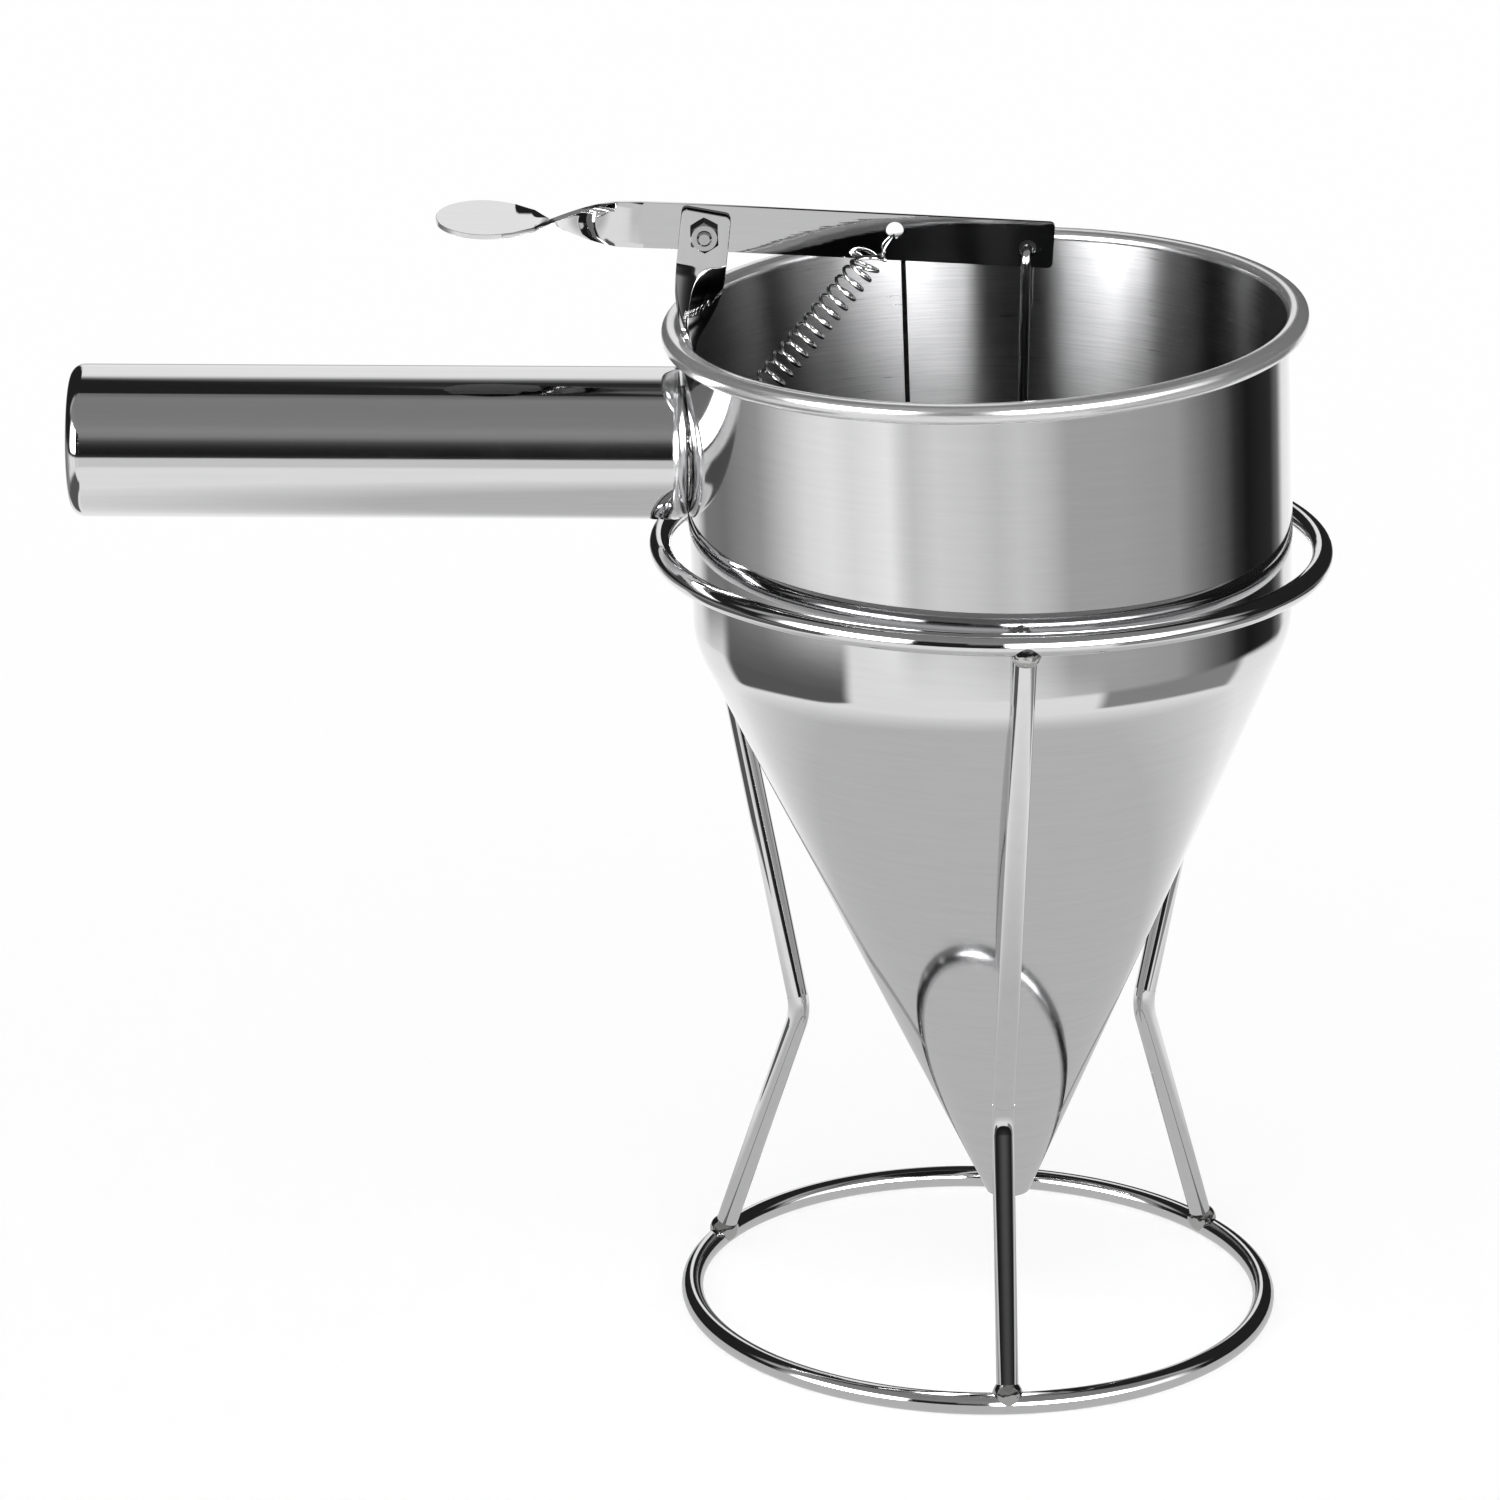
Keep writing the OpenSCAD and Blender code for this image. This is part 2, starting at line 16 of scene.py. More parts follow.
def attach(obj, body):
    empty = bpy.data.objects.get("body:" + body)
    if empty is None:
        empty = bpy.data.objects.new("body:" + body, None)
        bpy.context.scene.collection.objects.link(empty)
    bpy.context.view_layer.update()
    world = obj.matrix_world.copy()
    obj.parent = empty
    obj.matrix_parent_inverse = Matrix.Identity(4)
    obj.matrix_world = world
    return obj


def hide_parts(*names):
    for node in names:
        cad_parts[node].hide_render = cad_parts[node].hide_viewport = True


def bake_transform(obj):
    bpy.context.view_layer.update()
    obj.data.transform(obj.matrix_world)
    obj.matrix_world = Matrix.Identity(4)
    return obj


MM = 0.001
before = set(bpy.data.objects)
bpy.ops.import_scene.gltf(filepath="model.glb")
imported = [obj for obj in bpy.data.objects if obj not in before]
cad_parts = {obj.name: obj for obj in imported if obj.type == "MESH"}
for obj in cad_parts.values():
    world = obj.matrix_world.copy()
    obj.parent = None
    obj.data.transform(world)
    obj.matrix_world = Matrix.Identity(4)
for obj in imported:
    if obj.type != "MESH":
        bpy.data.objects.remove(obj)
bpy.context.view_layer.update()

# %% [markdown]
# ## Where the funnel stands
# The funnel leans a little, because its stand holds it loosely. Everything fixed to it is modelled
# upright about the funnel's own axis, where radius and height are simple numbers, and is then
# leaned in one step. `seat` holds that lean as a matrix: a turn about the middle of the upper ring.

# %% Sizes of the funnel
RIM_R, CURL_D, SHEET = 65.0, 4.4, 0.6
BOWL_H, HALF_ANGLE = 65.4, math.radians(24.1)
OUTLET_R, OUTLET_Z, SHOULDER_R = 4.0, 23.1, 20.0
# the wall hangs from the inner side of the curl
WALL_IN = RIM_R - CURL_D
WALL_OUT = WALL_IN + SHEET
# the corner is where wall and cone would meet if the shoulder weren't round
CONE_R = WALL_OUT - OUTLET_R - SHEET / math.cos(HALF_ANGLE)
CORNER_Z = OUTLET_Z + CONE_R / math.tan(HALF_ANGLE)
RIM_Z = CORNER_Z + BOWL_H
print("corner of bowl and cone mm:", round(CORNER_Z, 2), "rim mm:", round(RIM_Z, 2))

# %% The lean of the funnel
TOP_RING_Z = CORNER_Z + 16.1
LEAN_TO_HANDLE, LEAN_TO_FRONT = -2.5, 1.4

def lean():
    up = Matrix.Translation((0, 0, TOP_RING_Z * MM))
    side = Matrix.Rotation(math.radians(LEAN_TO_HANDLE), 4, "Y")
    front = Matrix.Rotation(math.radians(LEAN_TO_FRONT), 4, "X")
    turn = side @ front
    return up @ turn @ up.inverted()

seat = lean()
print("the rim's middle moves sideways mm:", round((seat @ Vector((0, 0, RIM_Z * MM))).x / MM, 2))

# %% [markdown]
# ## Small helpers for modelling
# `start` makes sure nothing is selected before a new piece is begun, so an operator never changes
# an older one. `finish_piece` writes the place into the mesh itself. The object then stays at the
# origin, unturned, and a later edit or an export never has to guess where it belongs.

# %% Modelling helpers
def start():
    if bpy.context.object and bpy.context.object.mode != "OBJECT":
        bpy.ops.object.mode_set(mode="OBJECT")
    bpy.ops.object.select_all(action="DESELECT")

def name_it(name):
    piece = bpy.context.object
    piece.name = name
    piece.data.name = name
    return piece

def apply_modifiers(piece):
    bpy.context.view_layer.objects.active = piece
    for modifier in list(piece.modifiers):
        bpy.ops.object.modifier_apply(modifier=modifier.name)

def finish_piece(piece, place=Matrix.Identity(4), smooth=30):
    piece.data.transform(place @ piece.matrix_basis)
    piece.matrix_basis = Matrix.Identity(4)
    bpy.ops.object.select_all(action="DESELECT")
    piece.select_set(True)
    bpy.context.view_layer.objects.active = piece
    bpy.ops.object.mode_set(mode="EDIT")
    bpy.ops.mesh.select_all(action="SELECT")
    bpy.ops.mesh.normals_make_consistent(inside=False)
    bpy.ops.object.mode_set(mode="OBJECT")
    bpy.ops.object.shade_smooth_by_angle(angle=math.radians(smooth))
    print(piece.name, len(piece.data.polygons), "faces")

# %% [markdown]
# ## The funnel's shell
# On the real object the funnel is one sheet: spun into a cone, rounded into a straight wall, and
# rolled outwards at the top so that no sharp edge is left. The roll is pressed a little flat, so its
# section is a rounded square, and that is why its dark line is so thin.
# A spun sheet is a circle that changes size as it climbs, and it is modelled the same way: a circle
# at the outlet is extruded and scaled from station to station, and the thickness comes last, from a
# Solidify modifier. A seam between cone and wall never exists, and the light runs over the shoulder
# without a break.

# %% Stations of the cone and the shoulder
CONE_ROWS, SHOULDER_ROWS = 12, 10

def cone_and_shoulder():
    centre_r = WALL_OUT - SHOULDER_R
    centre_z = CORNER_Z + SHOULDER_R * math.tan(HALF_ANGLE / 2)
    bend = SHOULDER_R - SHEET
    touch_r = centre_r + bend * math.cos(HALF_ANGLE)
    touch_z = centre_z - bend * math.sin(HALF_ANGLE)
    line = [(OUTLET_R, OUTLET_Z)]
    for i in range(1, CONE_ROWS):
        t = i / CONE_ROWS
        line.append((OUTLET_R + (touch_r - OUTLET_R) * t, OUTLET_Z + (touch_z - OUTLET_Z) * t))
    for i in range(SHOULDER_ROWS + 1):
        a = HALF_ANGLE * (1 - i / SHOULDER_ROWS)
        line.append((centre_r + bend * math.cos(a), centre_z - bend * math.sin(a)))
    return line

# %% Stations of the wall and the curl
WALL_ROWS, CURL_ROWS, CURL_TURN = 6, 36, 308
SQUARENESS, FLATTENING = 2.5, 0.92

def wall_and_curl(foot_z):
    radius = CURL_D / 2
    middle_z = RIM_Z - radius
    line = []
    for i in range(1, WALL_ROWS + 1):
        line.append((WALL_IN, foot_z + (middle_z - foot_z) * i / WALL_ROWS))
    for i in range(1, CURL_ROWS + 1):
        a = math.radians(180 - i * CURL_TURN / CURL_ROWS)
        out, up = math.cos(a), math.sin(a)
        square = (abs(out) ** SQUARENESS + abs(up) ** SQUARENESS) ** (-1 / SQUARENESS)
        line.append((WALL_IN + radius + radius * square * out,
                     middle_z + FLATTENING * radius * square * up))
    return line

stations = cone_and_shoulder()
stations += wall_and_curl(stations[-1][1])
print("stations:", len(stations), "curl ends at radius mm:", round(stations[-1][0], 2))

# %% Raise the shell
def raise_shell():
    start()
    r, z = stations[0]
    bpy.ops.mesh.primitive_circle_add(vertices=192, radius=r * MM, location=(0, 0, z * MM))
    piece = name_it("funnel_shell")
    piece.data.transform(piece.matrix_basis)
    piece.matrix_basis = Matrix.Identity(4)
    bpy.ops.object.mode_set(mode="EDIT")
    bpy.ops.mesh.select_all(action="SELECT")
    for r2, z2 in stations[1:]:
        bpy.ops.mesh.extrude_edges_move(TRANSFORM_OT_translate={"value": (0, 0, (z2 - z) * MM)})
        bpy.ops.transform.resize(value=(r2 / r, r2 / r, 1), center_override=(0, 0, z2 * MM))
        r, z = r2, z2
    bpy.ops.mesh.select_all(action="SELECT")
    bpy.ops.mesh.normals_make_consistent(inside=False)
    bpy.ops.object.mode_set(mode="OBJECT")
    return piece

shell = raise_shell()

# %% Give the shell its thickness
def thicken_shell():
    solid = shell.modifiers.new("sheet", "SOLIDIFY")
    solid.thickness = SHEET * MM
    solid.offset = 1
    solid.use_even_offset = True
    solid.material_offset = 1
    # the sheet grows away from the axis: a face high on the wall tells which way that is
    upright = (face for face in shell.data.polygons if abs(face.normal.z) < 0.01)
    high = max(upright, key=lambda face: face.center.z)
    if high.normal.dot(Vector((high.center.x, high.center.y, 0))) < 0:
        solid.offset = -1
    apply_modifiers(shell)

thicken_shell()
print("shell with its thickness:", len(shell.data.polygons), "faces")

# %% Three skins for the shell: polished outside, brushed inside, rolled rim
POLISHED, BRUSHED, ROLLED = 0, 1, 2

def skin_slot(face):
    out = Vector((face.center.x, face.center.y, 0))
    height = face.center.z
    curl_middle = (RIM_Z - CURL_D / 2) * MM
    over_the_wall = height > curl_middle or out.length > (WALL_OUT + 0.05) * MM
    if height > (RIM_Z - CURL_D) * MM and over_the_wall:
        return ROLLED
    looks_in = height < curl_middle and face.normal.dot(out) < -0.1 * out.length
    return BRUSHED if looks_in and out.length < (WALL_IN + 0.1) * MM else POLISHED

for slot in (POLISHED, BRUSHED, ROLLED):
    shell.data.materials.append(None)
for face in shell.data.polygons:
    face.material_index = skin_slot(face)
finish_piece(shell, seat, smooth=40)
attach(shell, "funnel")
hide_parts("funnel_bowl", "funnel_cone")

# %% [markdown]
# ## Flat strip with a twist
# Lever and bracket are cut from flat strip, drilled, and then twisted cold in a vice, and they are
# made in the same order here.
# The blank is a line of short edges, kept from one side of a flat grid and extruded from station to
# station, so that it has rows enough to twist smoothly. Solidify gives it thickness, Bevel breaks
# the sharp edges, which is what lets them catch the light, and Boolean drills the holes.
# Simple Deform then twists it between two limits: whatever lies beyond them is turned as a whole,
# as the free end of a strip in a vice is. Modelling the twisted shape directly would be far harder.

# %% Select by place, and cut a blank
ACROSS = 8

def pick(piece, wanted):
    # edit mode: select the vertices that pass the test, and no others
    bpy.ops.mesh.select_mode(type="VERT")
    bpy.ops.mesh.select_all(action="DESELECT")
    mesh = bmesh.from_edit_mesh(piece.data)
    for vertex in mesh.verts:
        if wanted(vertex.co / MM):
            vertex.select_set(True)
    mesh.select_flush(True)
    bmesh.update_edit_mesh(piece.data)

def cut_blank(name, outline):
    # outline: place along the strip and half its width there, in millimetres
    start()
    x, half = outline[0]
    bpy.ops.mesh.primitive_grid_add(x_subdivisions=1, y_subdivisions=ACROSS, size=2 * half * MM,
                                    location=((x - half) * MM, 0, 0))
    piece = name_it(name)
    bpy.ops.object.transform_apply(location=True, rotation=True, scale=True)
    bpy.ops.object.mode_set(mode="EDIT")
    pick(piece, lambda co: co.x < x - half)
    bpy.ops.mesh.delete(type="VERT")
    bpy.ops.mesh.select_all(action="SELECT")
    for x2, half2 in outline[1:]:
        bpy.ops.mesh.extrude_edges_move(TRANSFORM_OT_translate={"value": ((x2 - x) * MM, 0, 0)})
        bpy.ops.transform.resize(value=(1, half2 / half, 1), center_override=(x2 * MM, 0, 0))
        x, half = x2, half2
    return piece

# %% Corners, thickness and holes
def round_corners(piece, is_corner, radius):
    pick(piece, is_corner)
    bpy.ops.mesh.bevel(offset=radius * MM, segments=6, affect="VERTICES", clamp_overlap=False)

def give_thickness(piece, thickness, edge):
    bpy.ops.mesh.select_all(action="SELECT")
    bpy.ops.mesh.normals_make_consistent(inside=False)
    bpy.ops.object.mode_set(mode="OBJECT")
    sheet = piece.modifiers.new("sheet", "SOLIDIFY")
    sheet.thickness = thickness * MM
    sheet.offset = 0
    bevel = piece.modifiers.new("edges", "BEVEL")
    bevel.width = edge * MM
    bevel.segments = 3
    bevel.limit_method = "ANGLE"
    bevel.angle_limit = math.radians(50)
    apply_modifiers(piece)

def drill(piece, centre, diameter, rotation=(0, 0, 0)):
    start()
    bpy.ops.mesh.primitive_cylinder_add(vertices=48, radius=diameter / 2 * MM, depth=6 * MM,
                                        location=Vector(centre) * MM, rotation=rotation)
    bit = bpy.context.object
    hole = piece.modifiers.new("hole", "BOOLEAN")
    hole.object = bit
    hole.solver = "EXACT"
    apply_modifiers(piece)
    bpy.data.objects.remove(bit)

# %% Twist, bend and even light
def twist(piece, fixed, free, degrees):
    # the strip lies along x: held at `fixed`, turned at `free`, both in millimetres
    start()
    bpy.ops.object.empty_add(location=(fixed * MM, 0, 0))
    vice = bpy.context.object
    bpy.context.view_layer.update()
    reach = [vertex.co.x / MM for vertex in piece.data.vertices]
    low, high = min(reach), max(reach)
    turn = piece.modifiers.new("twist", "SIMPLE_DEFORM")
    turn.deform_method = "TWIST"
    turn.deform_axis = "X"
    turn.origin = vice
    turn.limits = ((min(fixed, free) - low) / (high - low), (max(fixed, free) - low) / (high - low))
    turn.angle = math.radians(degrees) * (1 if free > fixed else -1)
    apply_modifiers(piece)
    bpy.data.objects.remove(vice)

def bend_at(piece, wanted, degrees, axis, centre):
    # run without a window, transform.rotate turns against the right-hand rule: +30 gives -30
    bpy.context.view_layer.objects.active = piece
    bpy.ops.object.mode_set(mode="EDIT")
    pick(piece, wanted)
    bpy.ops.transform.rotate(value=math.radians(degrees), orient_axis=axis,
                             center_override=Vector(centre) * MM)
    bpy.ops.object.mode_set(mode="OBJECT")

def even_light(piece):
    # big flat faces keep their own normals, and the small rounded edges do the turning
    weigh = piece.modifiers.new("weigh", "WEIGHTED_NORMAL")
    weigh.keep_sharp = True
    apply_modifiers(piece)

# %% [markdown]
# ## The lever
# A strip on edge, with a round pad for the thumb that lies flat. Between them the strip makes a
# quarter turn. The outline is drawn flat: strip, a neck that widens in two straight lines until it
# touches the pad's circle, and the circle itself. One long gentle twist and one short strong one
# overlap, because a real twist is tightest in its middle.

# %% Sizes and place of the lever
# the pivot stands just inside the wall, above the rim, and the arm slopes down from it
SLOPE = math.radians(5.2)
PIVOT = Vector((-(WALL_IN - 5.2), 0, RIM_Z + 18.4))
# the strip's middle line runs a little above the pivot
STRIP_W, STRIP_T, STRIP_MID = 9.5, 1.0, 1.1
# from the pivot: the rod's end on one side, the neck and the middle of the pad on the other
ARM, NECK, PAD_AT, PAD_R = 69.8, 30.0, 44.0, 9.7
along = Vector((math.cos(SLOPE), 0, -math.sin(SLOPE)))
across = Vector((math.sin(SLOPE), 0, math.cos(SLOPE)))
lever_place = Matrix((along, across, along.cross(across))).transposed().to_4x4()
lever_place.translation = (PIVOT + STRIP_MID * across) * MM
print("pivot mm:", [round(v, 2) for v in PIVOT])

# %% Outline of the lever, from the rod's end to the pad's far side
TWIST_ROOM, SWELL = 12, 0.018

def lever_outline():
    half = STRIP_W / 2
    outline = [(ARM - (ARM + TWIST_ROOM) * i / 20, half) for i in range(21)]
    outline += [(-TWIST_ROOM - (NECK - TWIST_ROOM) * i / 45, half) for i in range(1, 46)]
    # the neck's straight line touches the pad's circle at the angle `touch`
    touch = (math.atan2(half, PAD_AT - NECK)
             + math.acos(PAD_R / math.hypot(PAD_AT - NECK, half)))
    touch_half = PAD_R * math.sin(touch)
    neck_length = PAD_AT - NECK - PAD_R * math.cos(touch)
    for i in range(1, 21):
        t = i / 20
        soft = SWELL * neck_length * math.exp(-((t - 0.02) / 0.09) ** 2)
        outline.append((-NECK - neck_length * t, half + (touch_half - half) * t + soft))
    first, last = math.degrees(touch), 162
    for i in range(1, 15):
        a = math.radians(first + (last - first) * i / 14)
        outline.append((-PAD_AT + PAD_R * math.cos(a), PAD_R * math.sin(a)))
    close = math.radians(6)
    outline.append((-PAD_AT - PAD_R * math.cos(close), PAD_R * math.sin(close)))
    return outline

lever = cut_blank("lever_strip", lever_outline())

# %% Drill, twist and place the lever
# each hole: place along the strip, place across it, diameter
PIVOT_HOLE = (0, -STRIP_MID, 3.1)
SPRING_HOLE = (37.9, 1.5, 3.5)
ROD_HOLE = (ARM - 5.2, 0.3 - STRIP_MID, 3.4)
# each twist: held at, turned at, degrees
GENTLE_TWIST = (-13.0, -38.0, 30)
STRONG_TWIST = (-17.5, -34.0, 63.7)
BEND_FROM, BEND_BACK = -8.0, -1.2
TIP_FORWARD = math.radians(1.8)

round_corners(lever, lambda co: co.x > ARM - 0.01 and abs(co.y) > STRIP_W / 2 - 0.01, 1.0)
give_thickness(lever, STRIP_T, 0.14)
for hole_x, hole_y, diameter in (PIVOT_HOLE, SPRING_HOLE, ROD_HOLE):
    drill(lever, (hole_x, hole_y, 0), diameter)
twist(lever, *GENTLE_TWIST)
twist(lever, *STRONG_TWIST)
bend_at(lever, lambda co: co.x < BEND_FROM, BEND_BACK, "Z", (BEND_FROM, 0, 0))
# set in its slot, the strip tips forward a little
finish_piece(lever, seat @ lever_place @ Matrix.Rotation(TIP_FORWARD, 4, "X"), smooth=35)
even_light(lever)
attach(lever, "lever")
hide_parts("lever")

# %% [markdown]
# ## The bracket
# The same kind of strip carries the lever's pivot. It lies flat on the inside of the wall, turns a
# quarter on its way up, so that its upper end stands beside the lever, and leans in towards the
# pivot. Its lower end is bent into a small lug that the spring hooks into. The lug is made first,
# with Spin, while the strip is still flat, and the lean comes last.

# %% Sizes and place of the bracket
BRACKET_W, BRACKET_T, BEND_R = 10.0, 1.2, 0.9
# heights: where the strip leaves the wall, and where the lug turns off it
BEND_Z, LUG_Z, LUG_LEN = RIM_Z - 12, RIM_Z - 31, 7.8
# the twist's two ends, measured along the strip from where it leaves the wall
TWIST_LOW, TWIST_HIGH = 6.0, 24.2
PLAY, WASHER_T = 0.1, 0.4
# the plate stands in front of the lever, and the strap's front edge just clears the round wall
plate_y = -(STRIP_T / 2 + PLAY + WASHER_T + BRACKET_T / 2)
strap_edge = BRACKET_W / 2 - plate_y
strap_x = -(math.sqrt(WALL_IN ** 2 - strap_edge ** 2) - BRACKET_T / 2 - 0.02)
strap_end = LUG_Z + BRACKET_T / 2 + BEND_R - BEND_Z
lean_in = math.atan((PIVOT.x - strap_x) / (PIVOT.z - BEND_Z))
pivot_at = (PIVOT.z - BEND_Z) / math.cos(lean_in)
plate_top = pivot_at + 4.6
bracket_place = Matrix(((0, 0, 1), (0, 1, 0), (-1, 0, 0))).transposed().to_4x4()
bracket_place.translation = Vector((strap_x, plate_y, BEND_Z)) * MM
print("the bracket leans in by degrees:", round(math.degrees(lean_in), 2))

# %% Blank of the bracket, with its lug
def bracket_outline():
    plate = (plate_top + 1, plate_top - 3, pivot_at, 25.0)
    turning = [25 - (25 - TWIST_LOW + 1) * i / 60 for i in range(1, 61)]
    strap = (2.5, 0.0, -6.0, -12.0, strap_end)
    return [(x, BRACKET_W / 2) for x in (*plate, *turning, *strap)]

bracket = cut_blank("bracket_strip", bracket_outline())
# the lower edge is bent round a quarter turn, then drawn on
pick(bracket, lambda co: co.x < strap_end + 0.01)
bpy.ops.mesh.spin(steps=6, angle=math.radians(90), center=(strap_end * MM, 0, -BEND_R * MM),
                  axis=(0, 1, 0))
low_x = min(vertex.co.x for vertex in bmesh.from_edit_mesh(bracket.data).verts) / MM
print("the lug's bend reaches mm:", round(strap_end - low_x, 2))
bpy.ops.mesh.extrude_edges_move(TRANSFORM_OT_translate={
    "value": (0, 0, -(LUG_LEN + BRACKET_T / 2 - BEND_R) * MM)})

# %% Shape the plate, drill, twist and place the bracket
TOP_TILT = math.radians(5)
# the lug's hole stands off this far from the middle of the strap
LUG_HOLE = 2.8

# the plate's upper edge falls a little towards the bowl
bpy.ops.mesh.select_all(action="SELECT")
bpy.ops.mesh.bisect(plane_co=(plate_top * MM, 0, 0), clear_outer=True,
                    plane_no=(math.cos(TOP_TILT), math.sin(TOP_TILT), 0))
round_corners(bracket, lambda co: co.x > plate_top - 1 and abs(co.y) > BRACKET_W / 2 - 0.01, 1.2)
give_thickness(bracket, BRACKET_T, 0.15)
drill(bracket, (pivot_at, 0, 0), 3.1)
lug_hole = Vector((strap_x + LUG_HOLE, 0, LUG_Z + BRACKET_T / 2))
drill(bracket, (LUG_Z + BRACKET_T / 2 - BEND_Z, -plate_y, -LUG_HOLE), 2.4,
      rotation=(0, math.radians(90), 0))
twist(bracket, TWIST_LOW, TWIST_HIGH, -60)
twist(bracket, TWIST_LOW + 2, TWIST_HIGH - 2, -30)
bend_at(bracket, lambda co: co.x > 0.01, -math.degrees(lean_in), "Y", (0, 0, 0))
finish_piece(bracket, seat @ bracket_place, smooth=35)
even_light(bracket)
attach(bracket, "funnel")
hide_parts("bracket")

# %% [markdown]
# ## The return spring
# A small coil pulls the lever back down. Its body is a wire swept along a screw thread, so it is
# made with the Screw modifier: one small circle, turned and lifted at the same time. Both ends leave
# the last turn and become hooks: the upper one goes through the lever, the lower one through the lug
# on the wall. Each hook is the same wire, swept through a handful of points as a round-section curve.

# %% Where the spring hangs
spring_hole = PIVOT + SPRING_HOLE[0] * along + (STRIP_MID + SPRING_HOLE[1]) * across
pull = (lug_hole - spring_hole).normalized()
# the coil hangs in front of the lever, clear of the strip
coil_top = spring_hole + 9 * pull + Vector((-1.3, -3.75, 0))
coil_end = lug_hole - 4.6 * pull + Vector((-1.4, 0, 0))
print("spring body mm:", round((coil_end - coil_top).length, 2))

# %% Wind the coil
COIL_R, WIRE_R, TURNS = 2.8, 0.36, 19

def coil_matrix():
    z = (coil_end - coil_top).normalized()
    x = Vector((0, -1, 0))
    x = (x - x.dot(z) * z).normalized()
    y = z.cross(x)
    place = Matrix((x, y, z)).transposed().to_4x4()
    place.translation = coil_top * MM
    return place

def wind_coil():
    start()
    bpy.ops.mesh.primitive_circle_add(vertices=10, radius=WIRE_R * MM,
                                      location=(COIL_R * MM, 0, 0),
                                      rotation=(math.radians(90), 0, 0))
    piece = name_it("return_spring")
    bpy.ops.object.transform_apply(location=True, rotation=True, scale=True)
    screw = piece.modifiers.new("wind", "SCREW")
    # a negative angle winds it left-handed
    screw.angle = -math.radians(360 * TURNS)
    screw.screw_offset = (coil_end - coil_top).length * MM
    screw.steps = screw.render_steps = 28 * TURNS
    screw.use_merge_vertices = False
    apply_modifiers(piece)
    piece.data.transform(coil_matrix())
    return piece

coil = wind_coil()
coil_x = coil_matrix().to_3x3() @ Vector((1, 0, 0))
coil_y = coil_matrix().to_3x3() @ Vector((0, 1, 0))
print("turns:", TURNS, "pitch mm:", round((coil_end - coil_top).length / TURNS, 2))

# %% A wire through a handful of points
def wire(name, points, radius):
    start()
    bpy.ops.curve.primitive_nurbs_path_add()
    path = name_it(name)
    path.data.splines.clear()
    line = path.data.splines.new("NURBS")
    line.points.add(len(points) - 1)
    for knot, point in zip(line.points, points):
        knot.co = (*(point * MM), 1)
    line.order_u = 4
    line.use_endpoint_u = True
    line.resolution_u = 8
    path.data.bevel_depth = radius * MM
    path.data.bevel_resolution = 3
    path.data.use_fill_caps = True
    path.location = (0, 0, 0)
    bpy.ops.object.convert(target="MESH")
    return bpy.context.object

def ease(t):
    t = max(0.0, min(1.0, t))
    return t * t * (3 - 2 * t)

# %% Bend the upper hook
# the last turns open and lie down flat, then the wire rises through the hole
LAID_FLAT, OPENING = Vector((-5.4, -3.75, -5.5)), 0.7
RISE = [(-2.3, -2.7, -4.9), (-2.7, -2.1, -3.9), (-1.5, -1.4, -2.3), (-0.6, -0.7, -1.3),
        (-0.3, 0.1, -1.25), (-0.2, 0.9, -1.5), (-0.4, 1.5, -2.6)]

def upper_hook():
    flat = spring_hole + LAID_FLAT
    turn = []
    for k in range(15):
        a, t = math.radians(45 * k), ease(k / 13)
        x = coil_x.lerp(Vector((0, -1, 0)), t).normalized()
        y = coil_y.lerp(Vector((-1, 0, 0)), t).normalized()
        ring = x * math.cos(a) + y * math.sin(a)
        turn.append(coil_top.lerp(flat, t) + (COIL_R + OPENING * t) * ring)
    return wire("upper_hook", turn + [spring_hole + Vector(step) for step in RISE], WIRE_R)

# %% Bend the lower hook
def lower_hook():
    x, y = coil_x * COIL_R, coil_y * COIL_R
    turn = []
    for k in range(5):
        a = math.radians(-45 * k)
        turn.append(coil_end + x * math.cos(a) + y * math.sin(a) + pull * (0.5 * k / 4))
    hook = [coil_end + pull * 1.2 - x * 0.4, coil_end + pull * 2.0,
            lug_hole - 0.4 * pull, lug_hole + 0.9 * pull,
            lug_hole + 1.9 * pull + Vector((0, -0.4, 0)),
            lug_hole + 1.7 * pull + Vector((0, -1.7, 0))]
    return wire("lower_hook", turn + hook, WIRE_R)

# %% Join coil and hooks, and hang the spring between lever and bracket
hooks = [upper_hook(), lower_hook()]
start()
for end in hooks:
    end.select_set(True)
coil.select_set(True)
bpy.context.view_layer.objects.active = coil
bpy.ops.object.join()
finish_piece(coil, seat, smooth=60)
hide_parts("spring")
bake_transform(coil)

# %% [markdown]
# ## Surface effects as reusable groups
# Steel is never one flat grey. Rolling, spinning and drawing leave fine lines, polishing leaves a
# slow waviness, and hands leave smudges. Each effect is a node group of its own, with named inputs,
# so any material can borrow it. A group gives back only a mask, a value or a normal; the shading
# itself stays in the material.

# %% Helpers to make groups and nodes
def new_group(name, inputs, outputs):
    tree = bpy.data.node_groups.new(name, "ShaderNodeTree")
    for label, kind, value in inputs:
        socket = tree.interface.new_socket(label, in_out="INPUT", socket_type=kind)
        if value is not None:
            socket.default_value = value
    for label, kind in outputs:
        tree.interface.new_socket(label, in_out="OUTPUT", socket_type=kind)
    given = tree.nodes.new("NodeGroupInput").outputs
    result = tree.nodes.new("NodeGroupOutput").inputs
    return tree, given, result

def fill(tree, made, links):
    # a socket as the value is linked, anything else is written on the input itself
    for socket, source in links.items():
        if isinstance(source, bpy.types.NodeSocket):
            tree.links.new(source, made.inputs[socket])
        else:
            made.inputs[socket].default_value = source
    return made.outputs

def node(tree, kind, links=None, **values):
    made = tree.nodes.new(kind)
    for key, value in values.items():
        setattr(made, key, value)
    return fill(tree, made, links or {})

def borrow(tree, group, links):
    made = tree.nodes.new("ShaderNodeGroup")
    made.node_tree = group
    return fill(tree, made, links)

